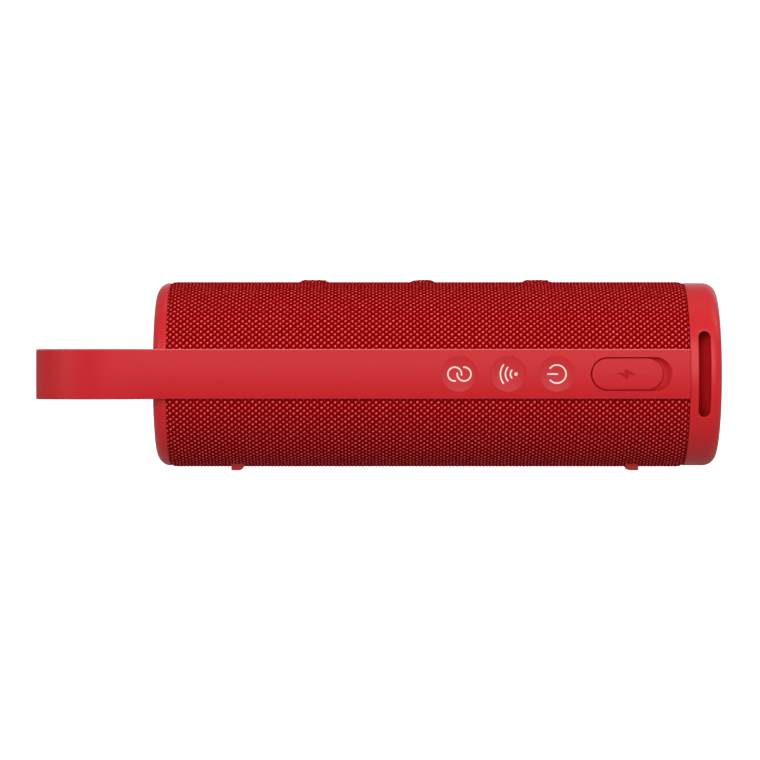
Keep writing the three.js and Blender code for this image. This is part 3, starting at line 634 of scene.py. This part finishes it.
# ---------------------------------------------------------------- strap and control strip
def strap_profile(x, flatness):
    """The strap's section as (z, height over the inner face): crowned on the barrel, flat on the loop.

    On the barrel a skirt along each side closes the gap between the strip and the cloth's edge.
    """
    half = STRAP_HALF_WIDTH + LOOP_EXTRA_WIDTH * flatness
    crown = []
    for z in np.linspace(half, -half, 25):
        height = math.sqrt(CROWN_RADIUS**2 - z**2) - STRAP_INNER
        crown.append((z, height * (1 - flatness) + STRAP_THICKNESS * flatness))
    skirt = -SKIRT_DEPTH * min(max((x - FABRIC_LEFT) / 2, 0.02), 1)
    inner = half - SKIRT_WIDTH
    underside = [(-half, skirt), (-inner, skirt), (-inner, 0.0), (inner, 0.0), (inner, skirt)]
    return rounded([(half, skirt), *crown, *underside], STRAP_EDGE, steps=5)


def strap_path():
    """(x, y, outward x, outward y, flatness) along the inner face, from the base cap round the loop."""
    bend = (STRAP_INNER + STRAP_LEG) / 2
    middle = (STRAP_LEG - STRAP_INNER) / 2
    path = []
    for x in np.linspace(STRAP_RIGHT, STRAP_TURN_X, 60):
        share = min(max((FABRIC_LEFT - x) / (FABRIC_LEFT - STRAP_TURN_X), 0), 1)
        path.append((x, -STRAP_INNER, 0.0, -1.0, TURN_FLATNESS * share**2 * (3 - 2 * share)))
    for a in np.linspace(0, math.pi, 61)[1:]:
        flatness = min(TURN_FLATNESS + 0.8 * a / math.pi, 1.0)
        x, y = STRAP_TURN_X - bend * math.sin(a), middle - bend * math.cos(a)
        path.append((x, y, -math.sin(a), -math.cos(a), flatness))
    path.append((STRAP_EYE_X, STRAP_LEG, 0.0, 1.0, 1.0))
    return path


def build_strap():
    """The strip and the strap in one moulding, with its key openings and its port."""
    rings = []
    for x, y, out_x, out_y, flatness in strap_path():
        rings.append([(x + h * out_x, y + h * out_y, z) for z, h in strap_profile(x, flatness)])
    strap = loft("carry_strap_and_strip", rings, strip_red, 30)
    cutters = []
    for x in KEY_X.values():
        outline = circle(KEY_RADIUS + KEY_CLEARANCE, x)
        cutters.append(loft("cutter", [on_back(outline, -1), on_back(outline, 4)]))
    # How far the port's outline is grown at each depth, for its soft edge.
    levels = [(0.5, -1.2), (0.2, 0.02), (0.06, 0.12), (0.0, 0.3), (0.0, 4.0)]
    rings = [on_back(stadium(PORT_LENGTH, PORT_WIDTH, PORT_X, grow), depth) for grow, depth in levels]
    cutters.append(loft("cutter", rings, pair=STADIUM_STEPS - 1))
    return combine(strap, cutters, degrees=30)


def build_key(name, x):
    """A shallow dish whose rim meets the strip, on a straight skirt."""
    rings = []
    for share in (0.02, 0.15, 0.3, 0.45, 0.6, 0.72, 0.82, 0.9, 0.95, 1.0):
        depth = KEY_DISH * (1 - share**2)
        rings.append(on_back(circle(KEY_RADIUS * share, x), depth))
    for share in (1.0, 0.02):
        rings.append([(px, KEY_BACK, z) for px, z in circle(KEY_RADIUS * share, x)])
    return loft(f"{name}_button", rings, key_red, 30)


def ribbon(name, x, path):
    """A printed line on a key, laid along a path of (x, z) points in the dish."""
    path = np.asarray(path, float)
    along = np.gradient(path, axis=0)
    along /= np.linalg.norm(along, axis=1)[:, None]
    side = np.stack([-along[:, 1], along[:, 0]], -1) * PRINT_WIDTH / 2
    left, right = path + side, path - side

    def lay(points, lift):
        placed = []
        for px, pz in points:
            share = min(math.hypot(px, pz) / KEY_RADIUS, 1)
            depth = KEY_DISH * (1 - share**2) - lift
            placed.append(on_back([(x + px, pz)], depth)[0])
        return placed

    corners = [lay(left, PRINT_TOP), lay(right, PRINT_TOP), lay(right, PRINT_FOOT), lay(left, PRINT_FOOT)]
    return loft(name, list(zip(*corners)), print_white, 40)


def arc_path(x, z, radius, start, end, steps=30):
    """(x, z) points along an arc, between two angles in degrees."""
    turns = np.radians(np.linspace(start, end, steps))
    return [(x + radius * math.cos(t), z + radius * math.sin(t)) for t in turns]


def build_symbols():
    """Two open links, waves from a dot, and a power mark, upright when the speaker stands on its base."""
    straight = [(-3.3 + 3.7 * t, 0.0) for t in np.linspace(0, 1, 8)]
    marks = {
        "link": [arc_path(-1.6, 0, 2.35, -12, 280, 40), arc_path(1.6, 0, 2.35, 168, 458, 40)],
        "wireless": [
            arc_path(2.6, 0, 0.32, 0, 360, 20),
            arc_path(2.6, 0, 1.9, 132, 228, 20),
            arc_path(2.6, 0, 3.6, 138, 222, 24),
            arc_path(2.6, 0, 5.3, 142, 218, 28),
        ],
        "power": [arc_path(0, 0, 3.1, -143, 143), straight],
    }
    for name, paths in marks.items():
        for number, path in enumerate(paths):
            mark = ribbon(f"{name}_mark_{number}", KEY_X[name], path)
            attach(mark, f"{name}_key")


def build_port_cover():
    """The silicone flap: crowned like the strip, with a round edge and a sunk bolt, whose floor carries a
    darker sheet as painted shade.
    """
    middle = COVER_LEFT + COVER_LENGTH / 2
    inset = COVER_WIDTH / 2 - 0.02
    levels = [(-inset, 0.02), (-4, 0.02), (-2, 0.02), (-0.8, 0.02), (-0.25, 0.03), (-0.07, 0.1), (0.0, 0.3)]
    rings = [on_back(stadium(COVER_LENGTH, COVER_WIDTH, middle, grow), depth) for grow, depth in levels]
    for grow in (0.0, -inset):
        rings.append([(x, -31.5, z) for x, z in stadium(COVER_LENGTH, COVER_WIDTH, middle, grow)])
    cover = loft("port_flap", rings, silicone_red, 30)
    bolt = [(-3.2, 0.4), (-0.8, 0.25), (-0.45, 1.75), (3.2, -0.3), (0.8, -0.25), (0.45, -1.9)]
    outline = [(BOLT_X + x, z) for x, z in bolt[::-1]]
    cutter = loft("cutter", [on_back(outline, -1), on_back(outline, 0.45)])
    combine(cover, [cutter], degrees=30)
    # a darker sheet on the sunk bolt's floor: painted shade for the recess
    bolt_shade = loft("bolt_floor_shade", [on_back(outline, 0.3), on_back(outline, 0.55)], bolt_shade_red, 30)
    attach(bolt_shade, "port_cover")
    rib = [[(x, y, z) for x, z in stadium(9.3, 3.7, PORT_X)] for y in (-31.6, -30.3, -30.2)]
    return combine(cover, [loft("rib", rib)], "UNION", 30)


def build_scoop():
    """The ramp for a fingertip, from under the flap's free end up to the strip's face."""
    flap_end = COVER_LEFT + COVER_LENGTH
    near, far = COVER_WIDTH / 2 + 0.25, PORT_WIDTH / 2
    near_x, far_x = flap_end - near + 0.25, PORT_X + PORT_LENGTH / 2 - far
    # How deep the ramp is at each share of the way out.
    section = [(0, 2.5), (0, 1.7), (0.35, 1.55), (0.7, 1.0), (0.92, 0.45), (1, 0.2), (1, 2.5)]
    rings = []
    for t in np.radians(np.linspace(-84, 84, 33)):
        start = np.array([near_x + near * math.cos(t), near * math.sin(t)])
        end = np.array([far_x + far * math.cos(t), far * math.sin(t)])
        ring = []
        for share, depth in section:
            spot = start + (end - start) * share
            ring += on_back([tuple(spot)], depth)
        rings.append(ring)
    ramp = loft("port_scoop", rings, silicone_red, 35)
    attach(ramp, "shell")


# ---------------------------------------------------------------- end caps
def rolled_edge(flat, end, depth):
    """(radius, x) points from the side wall to where the end face is nearly flat."""
    points = []
    for a in np.linspace(0, math.pi / 2, ROLL_STEPS)[:-1]:
        radius = flat + (CAP_RADIUS - flat) * math.cos(a)
        drop = depth * (1 - math.sin(a))
        points.append((radius, end - math.copysign(drop, end)))
    return points


def build_left_cap():
    """The ring round the left end, with the strap's seat and the pocket that takes its end."""
    shoulder = FABRIC_LEFT - 0.1
    ledge = -92.95
    step = -90.7
    step_radius = 30.9
    face = rolled_edge(LEFT_FLAT, -LEFT_FACE, HALF_LENGTH + shoulder - 0.35)
    lip = [(CAP_BORE + 0.4, -LEFT_FACE + 0.12), (CAP_BORE + 0.12, -LEFT_FACE + 0.4)]
    bore = [(CAP_BORE, -LEFT_FACE + 0.9), (CAP_BORE, ledge), (SPIGOT_BORE, ledge)]
    spigot = [(SPIGOT_BORE, LEFT_SPIGOT_END), (SPIGOT_RADIUS, LEFT_SPIGOT_END), (SPIGOT_RADIUS, step)]
    seat_edge = [(step_radius, step), (step_radius, shoulder), (CAP_RADIUS - 0.15, shoulder)]
    profile = [*face, *lip, *bore, *spigot, *seat_edge]
    cap = lathe("left_end_ring", profile, cap_red, CAP_STEPS)
    half = STRAP_HALF_WIDTH + 0.12
    seat = box(-100, shoulder + 1, -40, -STRAP_INNER + 0.05, -half, half)
    mouth = box(-100, STRAP_EYE_X + 1, STRAP_LEG - 0.12, STRAP_LEG + 2.32, -half, half)
    return combine(cap, [seat, mouth])


def slot_cutter(side):
    """A slot through the base cap's wall, flared where it meets the outside."""
    # How far the slot's outline is grown at each depth.
    levels = [(1.2, -1.2), (0.45, 0.0), (0.2, 0.08), (0.06, 0.22), (0.0, 0.5), (0.0, 3.3)]
    rings = []
    for grow, depth in levels:
        ring = []
        for z, across in stadium(SLOT_HEIGHT, SLOT_WIDTH, 0.0, grow):
            y = side * (math.sqrt(CAP_RADIUS**2 - z**2) - depth)
            ring.append((SLOT_X + across, y, z))
        rings.append(ring)
    return loft("cutter", rings, pair=STADIUM_STEPS - 1)


def build_base_cap():
    """The closed end, with a slot behind and in front and a groove for the rubber ring."""
    shoulder = FABRIC_RIGHT + 0.25
    hollow = CAP_RADIUS - CAP_WALL
    left, right = SLOT_X - SLOT_WIDTH / 2, SLOT_X + SLOT_WIDTH / 2
    mouth, ledge = 84.8, 82.8
    inner = [(0.5, left + 0.15), (24.0, left + 0.15), (hollow, right + 0.8)]
    inner += [(hollow, shoulder + 2), (23.9, mouth), (CAP_BORE, mouth), (CAP_BORE, ledge)]
    spigot = [(SPIGOT_BORE, ledge), (SPIGOT_BORE, BASE_SPIGOT_END)]
    spigot += [(SPIGOT_RADIUS, BASE_SPIGOT_END), (SPIGOT_RADIUS, shoulder)]
    outer, bed = PAD_OUTER + 0.3, BASE_FACE - 1.2
    groove = [(outer, BASE_FACE), (outer, bed), (PAD_INNER - 0.3, bed), (PAD_INNER - 0.3, BASE_FACE)]
    corner = rolled_edge(BASE_FLAT, BASE_FACE, BASE_ROLL)
    wall = [(CAP_RADIUS - 0.15, shoulder), (CAP_RADIUS - 0.04, shoulder + 0.06)]
    wall += [(CAP_RADIUS, x) for x in np.arange(shoulder + 0.2, corner[0][1] - 0.3, 0.6)]
    wall += corner
    profile = [*inner, *spigot, *wall, *rounded(groove, 0.3, closed=False), (0.5, BASE_FACE)]
    cap = lathe("base_end_cap", profile, cap_red, CAP_STEPS)
    return combine(cap, [slot_cutter(-1), slot_cutter(1)])


def build_base_ring():
    """The rubber ring that the speaker stands on."""
    corners = [(PAD_INNER, PAD_BED), (PAD_OUTER, PAD_BED)]
    corners += [(PAD_OUTER, HALF_LENGTH), (PAD_INNER, HALF_LENGTH)]
    return lathe("base_ring", rounded(corners, 0.3), black_rubber)


# ---------------------------------------------------------------- small pieces
def symbol_outline(name):
    """(x, y) points round the raised mark of a top key, counter-clockwise from above."""
    long, bar = SYMBOL_HALF, SYMBOL_BAR
    if name == "minus":
        return [(-long, -bar), (long, -bar), (long, bar), (-long, bar)]
    if name == "play":
        return [(SYMBOL_REACH, -long), (SYMBOL_REACH, long), (-SYMBOL_REACH, 0)]
    arm = [(long, -bar), (long, bar), (bar, bar)]
    points = []
    for turn in range(4):
        c, s = round(math.cos(turn * math.pi / 2)), round(math.sin(turn * math.pi / 2))
        points += [(c * x - s * y, s * x + c * y) for x, y in arm]
    return points


def grown(outline, distance):
    """The outline moved outwards, or inwards when the distance is negative."""
    points = [np.array(p, float) for p in outline]
    result = []
    for i, point in enumerate(points):
        before = point - points[i - 1]
        after = points[(i + 1) % len(points)] - point
        n1 = np.array([before[1], -before[0]]) / np.linalg.norm(before)
        n2 = np.array([after[1], -after[0]]) / np.linalg.norm(after)
        corner = (n1 + n2) / (1 + n1 @ n2)
        result.append(tuple(point + corner * distance))
    return result


def build_top_key(name, x):
    """A raised symbol with a soft top edge, just beneath the cloth that it lifts."""
    levels = [(-0.9, 0.0), (-0.55, 0.04), (-0.28, 0.14), (-0.1, 0.3), (0.0, 0.52), (0.0, 1.6), (0.0, 2.6)]
    rings = []
    for grow, depth in levels:
        outline = rounded(grown(symbol_outline(name), grow), 0.55 + grow * 0.3, steps=6)
        rings.append([(x + px, py, math.sqrt(TOP_KEY_RADIUS**2 - py**2) - depth) for px, py in outline])
    return loft(f"{name}_top_button", rings, key_red, 40)


def build_foot(name, x, side):
    """A bar across the underside, with a low ramp on its inner side."""
    bottom = -ORIGIN[2]
    half, deep = FOOT_HALF_WIDTH, FOOT_HALF_DEPTH
    ramp = [(FOOT_RAMP, -31.9), (FOOT_RAMP, -30.8)]
    section = rounded([(-half, bottom), (half, bottom), *ramp, (half, FOOT_TOP), (-half, FOOT_TOP)], 0.25)
    rings = [[(x + side * px, y, z) for px, z in section] for y in (-deep, -deep + 0.2, deep - 0.2, deep)]
    return loft(name, rings, foot_red, 35)


def build_radiator(name, x, out):
    """The weighted plate in its rubber roll, both turned about the axis."""
    edge = [(PLATE_RADIUS, 0.2), (PLATE_RADIUS, 2.4), (12.6, 2.6), (11.2, 1.8)]
    edge = rounded([(r, x + out * h) for r, h in edge], 0.25, closed=False)
    disc = lathe(f"{name}_plate", [(0.5, x + out * 0.2), *edge, (0.5, x + out * 1.8)], steel)
    roll = [(13.9, 0.8)]
    for a in np.linspace(math.pi, 0, 17):
        roll.append((15.8 + 1.9 * math.cos(a), 1.4 + 1.5 * math.sin(a)))
    roll.append((17.7, 0.8))
    ring = lathe(f"{name}_roll", [(r, x + out * h) for r, h in roll], black_rubber)
    return disc, ring


# ---------------------------------------------------------------- the pieces, on their bodies
def place(piece, body, slot, *nodes):
    """Puts a piece on its body, in the stead of the nodes that it replaces."""
    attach(piece, body)
    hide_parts(*nodes)


def build_speaker():
    place(build_cloth(), "shell", "red_fabric", "fabric_sleeve")
    place(build_strap(), "shell", "red_silicone", "carry_strap")
    for name, x in KEY_X.items():
        place(build_key(name, x), f"{name}_key", "red_silicone", f"{name}_key")
    build_symbols()
    place(build_port_cover(), "port_cover", "red_silicone", "port_cover")
    build_scoop()
    place(build_left_cap(), "shell", "red_plastic", "left_cap")
    place(build_base_cap(), "shell", "red_plastic", "base_cap")
    place(build_base_ring(), "shell", "black_rubber", "base_pad")
    for name, x in TOP_KEY_X.items():
        place(build_top_key(name, x), f"{name}_key", "red_silicone", f"{name}_key")
    for name, x, side in zip(("left", "right"), FOOT_X, FOOT_RAMP_SIDE):
        place(build_foot(f"{name}_foot_bar", x, side), "shell", "red_silicone", f"{name}_foot")
    for name, x, out in (("left", LEFT_SPIGOT_END, -1), ("base", BASE_SPIGOT_END, 1)):
        disc, ring = build_radiator(name, x, out)
        place(disc, f"{name}_radiator", "steel", f"{name}_radiator_plate")
        place(ring, "shell", "black_rubber", f"{name}_radiator_surround")


FINISHES = {
    "red_plastic": tray_red,
    "red_silicone": silicone_red,
    "red_fabric": cloth,
    "black_plastic": black_plastic,
    "black_rubber": black_rubber,
    "steel": steel,
    "magnet": steel,
    "copper": copper,
    "paper": paper_black,
    "board": board_green,
    "cell_wrap": cell_blue,
    "red_lead": lead_red,
    "black_lead": black_rubber,
}


def finish_frame_nodes():
    """The works inside keep their CAD shapes and take a material by their slot."""
    slots = {part["node"]: part["material_slot"] for part in frame["record"]["subparts"]}
    for name, node in frame["nodes"].items():
        soften(node.data, 35)
        finish = FINISHES[slots[name]]
        if not node.material_slots:
            node.data.materials.append(finish)
        for slot in node.material_slots:
            slot.material = finish


# ---------------------------------------------------------------- stage, lights and camera
def build_stage():
    """A round white table top whose rim curves up all round, so that no edge shows."""
    profile = []
    for a in np.linspace(0, math.pi / 2, 13):
        profile.append((STAGE_FLAT + STAGE_CURVE * math.sin(a), STAGE_CURVE * (1 - math.cos(a))))
    profile.append((STAGE_FLAT + STAGE_CURVE, STAGE_RIM))
    steps = CIRCLE_STEPS
    points = [(0.0, 0.0, 0.0)]
    faces = []
    for radius, z in profile:
        for i in range(steps):
            a = 2 * math.pi * i / steps
            points.append((radius * math.cos(a), radius * math.sin(a), z))
    for i in range(steps):
        faces.append((0, 1 + i, 1 + (i + 1) % steps))
    for ring in range(len(profile) - 1):
        here, there = 1 + ring * steps, 1 + (ring + 1) * steps
        for i in range(steps):
            k = (i + 1) % steps
            faces.append((here + i, there + i, there + k, here + k))
    mesh = bpy.data.meshes.new("stage")
    mesh.from_pydata(points, [], faces)
    mesh.update()
    stage = bpy.data.objects.new("stage", mesh)
    bpy.context.scene.collection.objects.link(stage)
    stage.location.z = -0.0001  # just under the feet
    soften(mesh, 60)
    material, _, shader = new_material("stage_white")
    shader.inputs["Base Color"].default_value = (0.86, 0.86, 0.86, 1)
    shader.inputs["Roughness"].default_value = 0.9
    shader.inputs["Specular IOR Level"].default_value = 0.0
    shader.inputs["Emission Color"].default_value = (1, 1, 1, 1)
    shader.inputs["Emission Strength"].default_value = STAGE_GLOW
    mesh.materials.append(material)
    # The white stage shows, but doesn't flood the object's underside with light.
    stage.visible_diffuse = False
    stage.visible_glossy = False


def area_light(name, spot, size, power):
    """A soft rectangular light that faces the speaker."""
    light = bpy.data.lights.new(name, "AREA")
    light.shape = "RECTANGLE"
    light.size, light.size_y = size
    light.energy = power
    lamp = bpy.data.objects.new(name, light)
    bpy.context.scene.collection.objects.link(lamp)
    lamp.location = spot
    direction = Vector(LIGHT_TARGET) - Vector(spot)
    lamp.rotation_mode = "QUATERNION"
    lamp.rotation_quaternion = direction.to_track_quat("-Z", "Y")


def build_lights():
    """An even white world, a little brighter above, and five soft lamps."""
    world = bpy.data.worlds.new("studio")
    world.use_nodes = True
    background = world.node_tree.nodes["Background"]
    background.inputs["Color"].default_value = (1, 1, 1, 1)
    tree = world.node_tree
    direction = tree.nodes.new("ShaderNodeTexCoord")
    parts = tree.nodes.new("ShaderNodeSeparateXYZ")
    tree.links.new(direction.outputs["Generated"], parts.inputs[0])
    glow = remap(tree, parts.outputs["Z"], WORLD_GLOW[0], WORLD_GLOW[1], -0.6, 0.8)
    tree.links.new(glow, background.inputs["Strength"])
    bpy.context.scene.world = world
    for name, (spot, size, power) in LIGHTS.items():
        area_light(name, spot, size, power)


def build_camera():
    """Level with the axis and square to it, as the photograph was taken."""
    camera = bpy.data.cameras.new("camera")
    camera.sensor_width = 36
    camera.lens = CAMERA_LENS
    camera.clip_start, camera.clip_end = 0.01, 20
    holder = bpy.data.objects.new("camera", camera)
    bpy.context.scene.collection.objects.link(holder)
    place = ORIGIN + np.array([CAMERA_OFFSET[0], -CAMERA_DISTANCE, CAMERA_OFFSET[1]])
    holder.location = tuple(place * MM)
    holder.rotation_euler = (math.pi / 2, 0, 0)
    bpy.context.scene.camera = holder
    bpy.context.scene.view_settings.view_transform = "Standard"


build_speaker()
finish_frame_nodes()
build_stage()
build_lights()
build_camera()
